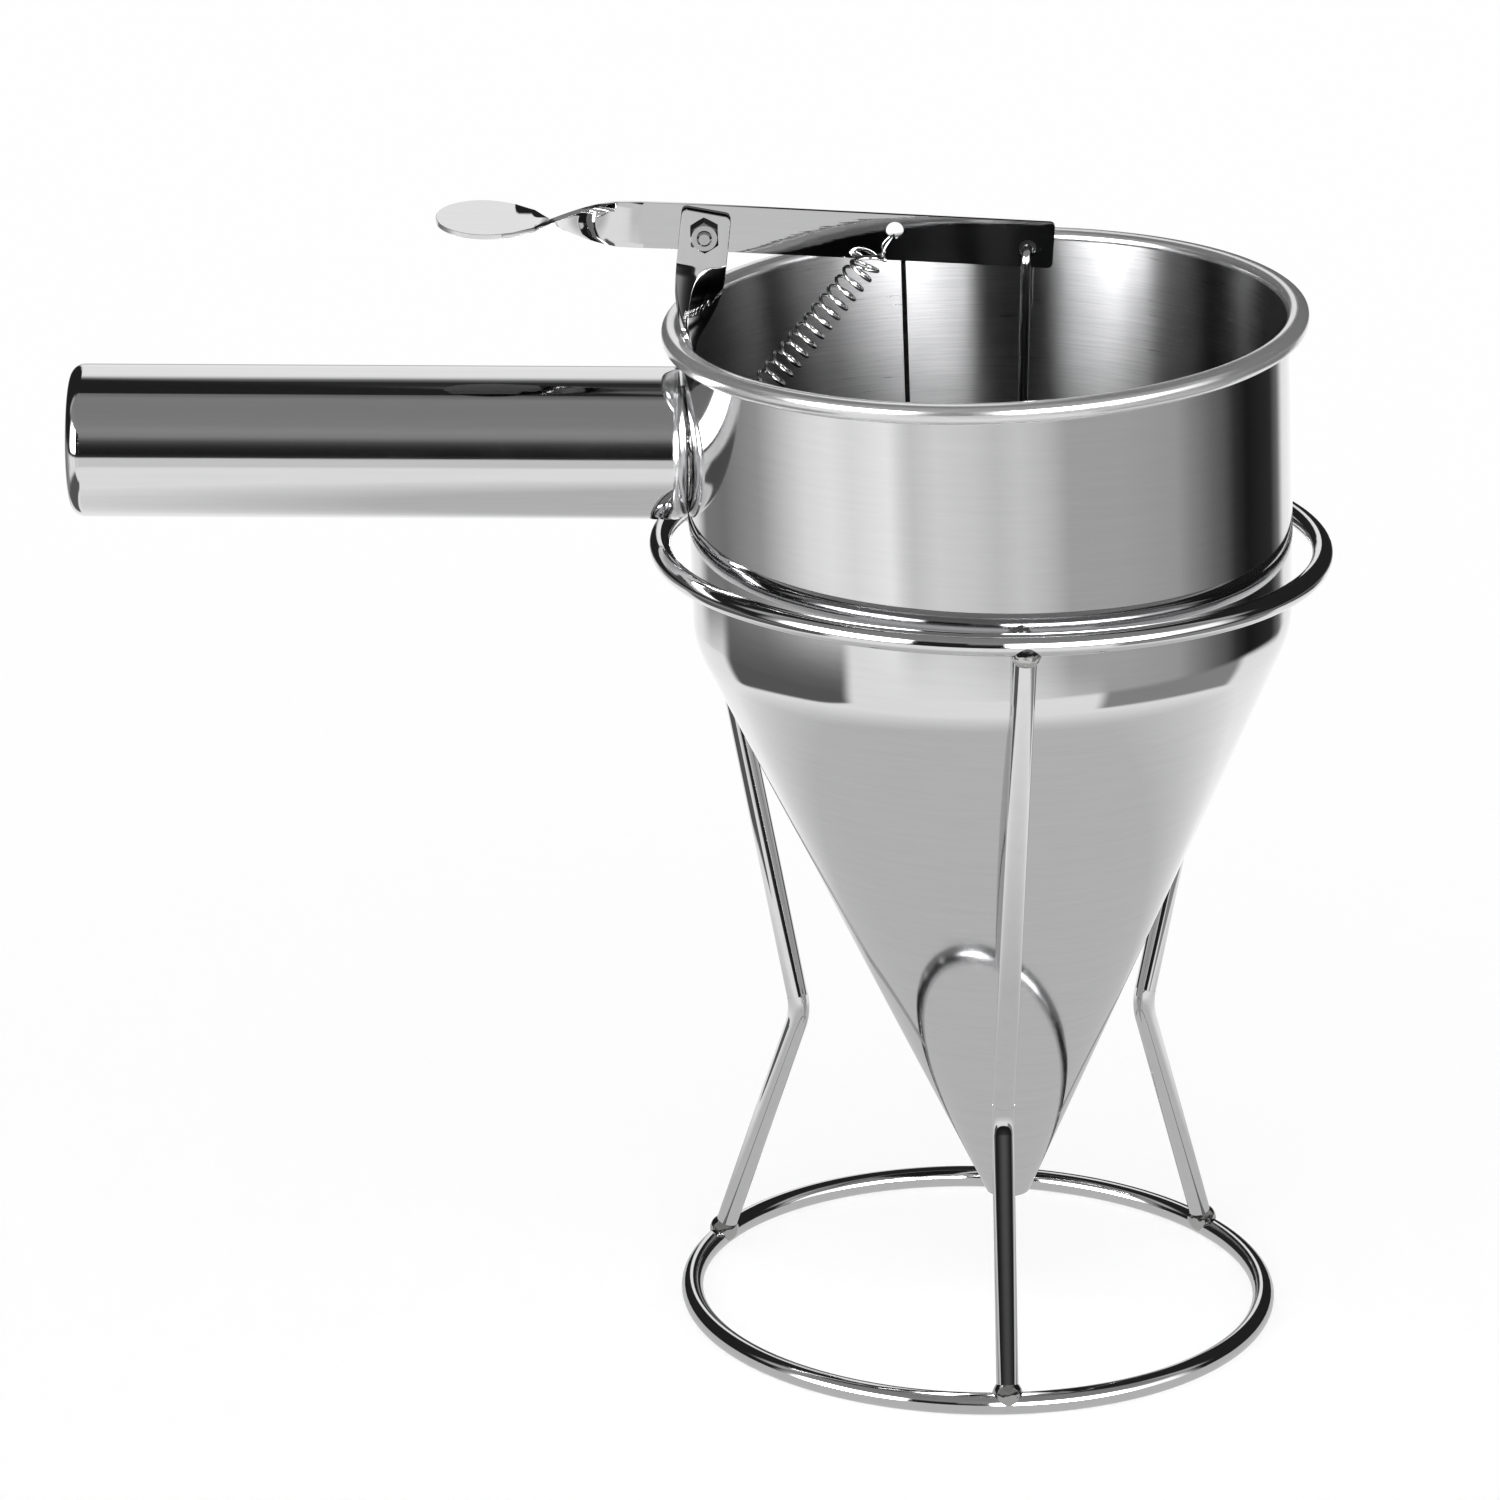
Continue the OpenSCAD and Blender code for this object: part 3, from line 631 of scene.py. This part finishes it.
def math_node(tree, operation, a, b=0.0, c=0.0):
    return node(tree, "ShaderNodeMath", {0: a, 1: b, 2: c}, operation=operation)[0]

# %% Lines of the metal
def make_lay_lines():
    tree, given, result = new_group(
        "lay_lines",
        [("Vector", "NodeSocketVector", None), ("Stretch", "NodeSocketVector", (40, 40, 2500)),
         ("Depth", "NodeSocketFloat", 0.1), ("Normal", "NodeSocketVector", None)],
        [("Tone", "NodeSocketFloat"), ("Normal", "NodeSocketVector")])
    spread = node(tree, "ShaderNodeVectorMath", {0: given["Vector"], 1: given["Stretch"]},
                  operation="MULTIPLY")[0]
    lines = node(tree, "ShaderNodeTexNoise",
                 {"Vector": spread, "Scale": 1.0, "Detail": 3.0, "Roughness": 0.65})
    bump = node(tree, "ShaderNodeBump", {"Height": lines["Fac"], "Strength": given["Depth"],
                                         "Distance": 0.0002, "Normal": given["Normal"]})
    tree.links.new(lines["Fac"], result["Tone"])
    tree.links.new(bump["Normal"], result["Normal"])
    return tree

lay_lines = make_lay_lines()
print("group:", lay_lines.name)

# %% Waviness and smudges
def make_waviness():
    tree, given, result = new_group(
        "waviness",
        [("Vector", "NodeSocketVector", None), ("Size", "NodeSocketFloat", 40.0),
         ("Depth", "NodeSocketFloat", 0.1)],
        [("Normal", "NodeSocketVector")])
    slow = node(tree, "ShaderNodeTexNoise",
                {"Vector": given["Vector"], "Scale": given["Size"], "Detail": 1.0})
    bump = node(tree, "ShaderNodeBump",
                {"Height": slow["Fac"], "Strength": given["Depth"], "Distance": 0.001})
    tree.links.new(bump["Normal"], result["Normal"])
    return tree

def make_smudges():
    tree, given, result = new_group(
        "smudges",
        [("Vector", "NodeSocketVector", None), ("Size", "NodeSocketFloat", 60.0)],
        [("Mask", "NodeSocketFloat")])
    cloud = node(tree, "ShaderNodeTexNoise",
                 {"Vector": given["Vector"], "Scale": given["Size"], "Detail": 5.0,
                  "Roughness": 0.6, "Distortion": 0.4})
    mask = node(tree, "ShaderNodeMapRange",
                {"Value": cloud["Fac"], "From Min": 0.45, "From Max": 0.72})
    tree.links.new(mask[0], result["Mask"])
    return tree

waviness, smudges = make_waviness(), make_smudges()
print("groups:", waviness.name, smudges.name)

# %% [markdown]
# ## One recipe for every steel
# All the pieces are stainless steel, and what differs is how each was worked. The recipe takes the
# tone, the roughness, the direction of the lines and how wavy the surface is. `grain` stretches the
# noise: large numbers pack the lines closely along that axis, small ones draw them out.
# A shiny object is also full of its own mirror images, and these can be calmed in two ways. `echo`
# is painted shade: it darkens the piece's colour only in the rays of a neighbour's mirror, so its
# reflections are darker than the piece the eye sees, and `calm` makes it perfectly smooth there.
# Both ask the Light Path node whether the ray comes from a mirror.
# The rest is wear: `smear` is what hands add to the roughness, `streak` is how far the tone wanders
# along the lines, and `swirl` draws the light out across them. `metal` below 1 mixes in a little
# matt grey, which lifts the darkest reflections.

# %% What a neighbour's mirror shows of a piece
def dim_in_mirrors(tree, colour, tone, echo):
    # painted shade: the tone is darkened by the echo factor only for rays that come from a mirror
    mirrored = node(tree, "ShaderNodeLightPath")["Is Glossy Ray"]
    dimmed = (*[c * echo for c in tone], 1)
    return node(tree, "ShaderNodeMix", {0: mirrored, 6: colour, 7: dimmed}, data_type="RGBA")[2]

def smooth_in_mirrors(tree, spread):
    mirrored = node(tree, "ShaderNodeLightPath")["Is Glossy Ray"]
    return math_node(tree, "MULTIPLY", spread, math_node(tree, "SUBTRACT", 1.0, mirrored))

# %% The steel recipe
def steel(name, tone, rough, grain, depth, wave=0.0, wave_size=40.0, smear=0.03,
          swirl=0.0, streak=0.05, metal=1.0, echo=1.0, calm=False):
    material = bpy.data.materials.new(name)
    material.use_nodes = True
    tree = material.node_tree
    shader = tree.nodes["Principled BSDF"]
    place = node(tree, "ShaderNodeTexCoord")["Object"]
    slow = borrow(tree, waviness, {"Vector": place, "Size": wave_size, "Depth": wave})
    fine = borrow(tree, lay_lines, {"Vector": place, "Stretch": grain, "Depth": depth,
                                    "Normal": slow["Normal"]})
    darker = (*[c * (1 - streak) for c in tone], 1)
    lighter = (*[min(1, c * (1 + streak)) for c in tone], 1)
    colour = node(tree, "ShaderNodeMix", {0: fine["Tone"], 6: darker, 7: lighter},
                  data_type="RGBA")[2]
    # painted shade in reflections: the colour is dimmed where a neighbour mirrors the piece
    if echo < 1:
        colour = dim_in_mirrors(tree, colour, tone, echo)
    marks = borrow(tree, smudges, {"Vector": place})
    spread = math_node(tree, "MULTIPLY_ADD", marks["Mask"], smear, rough)
    spread = math_node(tree, "MULTIPLY_ADD", fine["Tone"], rough * 0.3, spread)
    if calm:
        spread = smooth_in_mirrors(tree, spread)
    fill(tree, shader, {"Base Color": colour, "Roughness": spread, "Normal": fine["Normal"],
                        "Metallic": metal})
    if swirl:
        # the lines run round the axis, so the light is drawn out across them, up and down
        ring = node(tree, "ShaderNodeTangent", {}, direction_type="RADIAL", axis="Z")[0]
        fill(tree, shader, {"Anisotropic": swirl, "Anisotropic Rotation": 0.25, "Tangent": ring})
    return material

# %% Finishes of the funnel and the handle
GREY = (0.66, 0.66, 0.665)
bowl_out = steel("polished_outside", GREY, 0.045, (60, 60, 900), 0.005, wave=0.04, wave_size=28)
# painted shade: in the mirror of a neighbour, such as the lever, the inside's colour drops to 0.3 of
# its tone
bowl_in = steel("brushed_inside", (0.4, 0.4, 0.404), 0.25, (70, 70, 2600), 0.14, smear=0.02,
                swirl=1.0, streak=0.25, echo=0.3)
# the curl is rubbed half matt by hands, and its dark lines are grey rather than black
rim_skin = steel("rolled_rim", GREY, 0.14, (60, 60, 900), 0.01, smear=0.06, metal=0.72)
root_skin = steel("soft_collar", GREY, 0.14, (200, 200, 200), 0.01, smear=0.05)
handle_skin = steel("polished_handle", GREY, 0.04, (40, 900, 900), 0.008, wave=0.03, wave_size=35)
print("funnel and handle:", [m.name for m in (bowl_out, bowl_in, rim_skin, root_skin, handle_skin)])

# %% Finishes of wire, strip and small parts
wire_skin = steel("polished_wire", GREY, 0.04, (300, 300, 300), 0.01, wave=0.02, wave_size=60,
                  calm=True)
leg_skin = steel("mirror_wire", GREY, 0.0, (300, 300, 300), 0.015, wave=0.03, wave_size=60,
                 smear=0.0)
# painted shade: in the mirror of a neighbour the lever's colour drops to 0.15 of its tone
strip_skin = steel("rolled_strip", GREY, 0.0, (60, 900, 900), 0.015, wave=0.02, wave_size=60,
                   smear=0.0, echo=0.15)
bracket_skin = steel("rolled_bracket", GREY, 0.0, (300, 300, 40), 0.02, wave=0.03, wave_size=60,
                     smear=0.0)
bead_skin = steel("weld_bead", (0.5, 0.495, 0.49), 0.0, (900, 900, 900), 0.3, wave=0.4,
                  wave_size=500, smear=0.0)
fixing_skin = steel("turned_fixing", (0.55, 0.55, 0.55), 0.0, (1500, 1500, 300), 0.1, smear=0.0)
spring_skin = steel("spring_wire", (0.58, 0.58, 0.585), 0.1, (1200, 1200, 1200), 0.06)
rod_skin = steel("turned_rod", GREY, 0.1, (500, 500, 2500), 0.08)
print("materials:", len(bpy.data.materials))

# %% Give every piece its finish
finishes = {
    handle_skin: ("handle_tube", "handle_end_cap"),
    root_skin: ("handle_root_cap",),
    wire_skin: ("top_ring", "foot_ring"),
    leg_skin: ("leg_front", "leg_right", "leg_left"),
    strip_skin: ("lever",),
    bracket_skin: ("bracket",),
    bead_skin: ("top_welds", "foot_welds", "handle_weld", "bowl_seam"),
    fixing_skin: ("pivot_screw", "pivot_nut", "pivot_washers"),
    rod_skin: ("rod", "stopper"),
    spring_skin: ("spring",),
    bowl_out: ("funnel_bowl", "funnel_cone"),
}

def put_on(piece, skin):
    piece.data.materials.clear()
    piece.data.materials.append(skin)

for skin, names in finishes.items():
    for name in names:
        put_on(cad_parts[name], skin)
for piece, skin in ((coil, spring_skin), (lever, strip_skin), (bracket, bracket_skin)):
    put_on(piece, skin)
for slot, skin in ((POLISHED, bowl_out), (BRUSHED, bowl_in), (ROLLED, rim_skin)):
    shell.data.materials[slot] = skin
print("finished nodes:", sum(len(names) for names in finishes.values()))

# %% [markdown]
# ## What the steel mirrors
# Polished steel has almost no look of its own: it shows the room. The room here is a small studio: a
# pale table, a bright wall behind, and dark stretches between them that draw the edges. The world
# colour is built from two angles, the height above the horizon and the way round it. Only glossy
# rays meet this room. The camera sees plain white, and matt things are lit by plain white too.
# A few small strong lamps stand low at both sides of the front. They give the brushed inside its
# broad sheen. A perfect mirror, with roughness 0, doesn't show them: the Light Path node calls its
# rays singular. So the bracket and the legs stay dark where a mirror of the lamps would be white.

# %% Levels of light in the room
# front and back: height in degrees, level
FRONT = [(-90, 0.7), (-50, 0.9), (-17, 1.04), (-14.5, 0.55), (-12, 0.06), (-5, 0.015), (1, 0.02),
         (5, 0.03), (9, 0.05), (14, 0.1), (18, 0.2), (22, 0.29), (30, 0.33), (40, 0.29), (60, 0.27),
         (81, 0.28), (86, 0.19), (90, 0.09)]
BACK = [(-90, 0.7), (-60, 0.4), (-8, 0.3), (2, 0.7), (5, 1.0), (43, 1.1), (49, 1.05), (53, 0.7),
        (58, 0.2), (64, 0.03), (71, 0.035), (77, 0.13), (83, 0.16), (88, 0.09)]
# lamps above the horizon and table below it: degrees round from the front to the right, level
LAMPS = [(-180, 0.02), (-84, 0.02), (-76, 0.6), (-70, 4), (-66, 14), (-60, 27), (-50, 27),
         (-42, 22), (-36, 15), (-30, 7), (-27, 0.02), (-8, 0.02), (3, 0.02), (6, 20), (12, 25),
         (17, 25), (23, 23), (33, 20), (44, 14), (54, 8), (60, 2.5), (68, 1.6), (78, 1.4),
         (86, 0.4), (91, 0.02), (180, 0.02)]
TABLE = [(-180, 1.2), (-150, 0.9), (-140, 0.25), (-123, 0.23), (-114, 0.3), (-99, 0.41),
         (-93, 0.55), (-86, 0.73), (-75, 1.0), (-64, 1.1), (-54, 1.0), (-39, 1.16), (-34, 0.9),
         (-30, 0.78), (-20, 0.9), (-7, 0.83), (2, 0.73), (11, 0.8), (20, 0.7), (24, 0.62),
         (29, 0.5), (50, 0.49), (74, 0.43), (80, 0.33), (92, 0.18), (98, 0.13), (105, 0.04),
         (113, 0.012), (132, 0.03), (140, 0.2), (146, 1.0), (180, 1.2)]
DARK = 0.02
print("stops:", len(FRONT), len(BACK), len(LAMPS), len(TABLE))

# %% Helpers for masks and levels
TO_DEGREES = 57.2958

def smooth_mask(tree, value, low, high):
    return node(tree, "ShaderNodeMapRange", {"Value": value, "From Min": low, "From Max": high},
                interpolation_type="SMOOTHSTEP")[0]

def all_of(tree, *masks):
    product = masks[0]
    for mask in masks[1:]:
        product = math_node(tree, "MULTIPLY", product, mask)
    return product

def blend_by(tree, mask, under, over):
    return node(tree, "ShaderNodeMix", {0: mask, 2: under, 3: over}, data_type="FLOAT")[0]

def bearing_of(tree, x, y):
    # 0 is the front, and the bearing grows to the right
    front = math_node(tree, "MULTIPLY", y, -1.0)
    return math_node(tree, "MULTIPLY", math_node(tree, "ARCTAN2", x, front), TO_DEGREES)

def table_of(tree, value, low, high, pairs):
    # a colour ramp holds 32 stops at most
    assert len(pairs) <= 32
    factor = node(tree, "ShaderNodeMapRange", {"Value": value, "From Min": low, "From Max": high})
    made = tree.nodes.new("ShaderNodeValToRGB")
    stops = made.color_ramp.elements
    while len(stops) > 1:
        stops.remove(stops[0])
    for i, (position, level) in enumerate(pairs):
        place = (position - low) / (high - low)
        stop = stops[0] if i == 0 else stops.new(place)
        stop.position, stop.color = place, (level, level, level, 1)
    tree.links.new(factor[0], made.inputs[0])
    return made.outputs[0]

# %% Build the room
def make_studio_room():
    tree, given, result = new_group(
        "studio_room",
        [("Direction", "NodeSocketVector", None), ("Lamps", "NodeSocketFloat", 1.0)],
        [("Light", "NodeSocketFloat")])
    unit = node(tree, "ShaderNodeVectorMath", {0: given["Direction"]}, operation="NORMALIZE")[0]
    x, y, z = node(tree, "ShaderNodeSeparateXYZ", {0: unit})[:]
    height = math_node(tree, "MULTIPLY", math_node(tree, "ARCSINE", z), TO_DEGREES)
    around = bearing_of(tree, x, y)
    away = math_node(tree, "ABSOLUTE", around)

    light = blend_by(tree, smooth_mask(tree, away, 85, 105),
                     table_of(tree, height, -90, 90, FRONT), table_of(tree, height, -90, 90, BACK))
    # the bright wall behind is narrow; beside it, above the table, the room is dark
    beside = all_of(tree, smooth_mask(tree, away, 90, 105), smooth_mask(tree, around, -171, -167),
                    smooth_mask(tree, around, 179.5, 178), smooth_mask(tree, height, -12, -4))
    light = blend_by(tree, beside, light, DARK)
    # the lamps leave a gap in the middle, where the camera stands
    off_middle = math_node(tree, "ABSOLUTE", math_node(tree, "ADD", around, 3.5))
    lamps = all_of(tree, smooth_mask(tree, height, -8, 0), smooth_mask(tree, height, 30, 20),
                   smooth_mask(tree, away, 120, 100), smooth_mask(tree, off_middle, 4.5, 6.5),
                   given["Lamps"])
    light = blend_by(tree, lamps, light, table_of(tree, around, -180, 180, LAMPS))
    table = all_of(tree, smooth_mask(tree, height, -27, -23), smooth_mask(tree, height, -9, -12))
    light = blend_by(tree, table, light, table_of(tree, around, -180, 180, TABLE))
    tree.links.new(light, result["Light"])
    return tree

studio_room = make_studio_room()
print("group:", studio_room.name)

# %% Light the world with it
def light_the_room():
    world = bpy.data.worlds.new("studio")
    bpy.context.scene.world = world
    world.use_nodes = True
    tree = world.node_tree
    sky = tree.nodes["Background"]
    way = node(tree, "ShaderNodeTexCoord")["Generated"]
    path = node(tree, "ShaderNodeLightPath")
    lamps = math_node(tree, "SUBTRACT", 1.0, path["Is Singular Ray"])
    room = borrow(tree, studio_room, {"Direction": way, "Lamps": lamps})["Light"]
    fill(tree, sky, {"Color": (1, 1, 1, 1),
                     "Strength": blend_by(tree, path["Is Glossy Ray"], 1.0, room)})
    return world

print("world:", light_the_room().name)

# %% [markdown]
# ## The floor
# The floor is white paper. More than half of its white is its own glow, so that the object's shadow
# stays soft and light. Steel sees the paper as a glow alone, with a painted shadow: the glow is set
# dimmer close to the object, and two dark mats further out give the polished wall its dark sides.
# Beyond arm's length the paper ends for steel, and the room takes over.

# %% What steel sees of the floor
# close to the object, where the paper's glow is painted dimmer as a shadow, and out in the open:
# distance in metres, level
PAINTED_SHADOW_NEAR, OPEN = (0.135, 0.64), (0.23, 1.04)
# distances over which the mats begin and the paper ends
MAT_FROM = (0.235, 0.255)
FLOOR_END = (0.40, 0.50)
# the share of the paper's light that each mat takes away
LEFT_MAT, RIGHT_MAT = 0.88, 0.7

def mats_on_floor(tree, place, reach):
    x, y = node(tree, "ShaderNodeSeparateXYZ", {0: place})[:2]
    bearing = bearing_of(tree, x, y)
    left = all_of(tree, smooth_mask(tree, bearing, -123, -115), smooth_mask(tree, bearing, -52, -58),
                  smooth_mask(tree, x, -0.215, -0.235))
    right = all_of(tree, smooth_mask(tree, bearing, 108, 100), smooth_mask(tree, bearing, 36, 42))
    left = math_node(tree, "MULTIPLY", left, LEFT_MAT)
    mats = math_node(tree, "MULTIPLY_ADD", right, RIGHT_MAT, left)
    return math_node(tree, "MULTIPLY", mats, smooth_mask(tree, reach, *MAT_FROM))

def mirrored_floor(tree):
    place = node(tree, "ShaderNodeTexCoord")["Object"]
    reach = node(tree, "ShaderNodeVectorMath", {0: place}, operation="LENGTH")["Value"]
    # painted shadow: the glow rises from 0.64 close to the object to 1.04 out in the open
    paper = node(tree, "ShaderNodeMapRange",
                 {"Value": reach, "From Min": PAINTED_SHADOW_NEAR[0], "From Max": OPEN[0],
                  "To Min": PAINTED_SHADOW_NEAR[1], "To Max": OPEN[1]})[0]
    bare = math_node(tree, "SUBTRACT", 1.0, mats_on_floor(tree, place, reach))
    glow = node(tree, "ShaderNodeEmission", {"Strength": math_node(tree, "MULTIPLY", paper, bare)})
    gone = node(tree, "ShaderNodeBsdfTransparent")
    edge = smooth_mask(tree, reach, *FLOOR_END)
    return node(tree, "ShaderNodeMixShader", {0: edge, 1: glow[0], 2: gone[0]})[0]

# %% Lay the floor
OWN_WHITE = 0.7

def lay_floor():
    start()
    bpy.ops.mesh.primitive_plane_add(size=8)
    floor = name_it("floor")
    paper = bpy.data.materials.new("white_paper")
    paper.use_nodes = True
    tree = paper.node_tree
    matt = fill(tree, tree.nodes["Principled BSDF"],
                {"Base Color": (0.98, 0.98, 0.98, 1), "Roughness": 1.0, "Specular IOR Level": 0.0})
    glow = node(tree, "ShaderNodeEmission", {"Strength": 1.0})
    seen = node(tree, "ShaderNodeMixShader", {0: OWN_WHITE, 1: matt[0], 2: glow[0]})[0]
    path = node(tree, "ShaderNodeLightPath")
    surface = node(tree, "ShaderNodeMixShader",
                   {0: path["Is Glossy Ray"], 1: seen, 2: mirrored_floor(tree)})[0]
    tree.links.new(surface, tree.nodes["Material Output"].inputs["Surface"])
    floor.data.materials.append(paper)
    return floor

print("floor:", lay_floor().name)

# %% [markdown]
# ## The camera
# The object is seen from the front and a little above, from far away through a long lens, which
# keeps the upright lines nearly parallel. The camera is built from the way it looks, so that its
# pitch and its slight roll can be read off as two angles.

# %% Aim the camera
PITCH, ROLL, LENS, SENSOR = 0.3259, 0.0053, 155.17, 36
STAND_AT = Vector((-0.04865, -1.2575, 0.54622))

def aim_camera():
    forward = Vector((0, math.cos(PITCH), -math.sin(PITCH)))
    level = Vector((1, 0, 0))
    upright = level.cross(forward)
    right = math.cos(ROLL) * level + math.sin(ROLL) * upright
    up = math.cos(ROLL) * upright - math.sin(ROLL) * level
    bpy.ops.object.camera_add(location=(0, 0, 0))
    camera = bpy.context.object
    camera.data.sensor_width = SENSOR
    camera.data.lens = LENS
    camera.data.clip_start = 0.05
    view = Matrix((right, up, -forward)).transposed().to_4x4()
    view.translation = STAND_AT
    camera.matrix_world = view
    return camera

bpy.context.scene.camera = aim_camera()
bpy.context.scene.view_settings.view_transform = "Standard"
print("camera lens mm:", LENS)
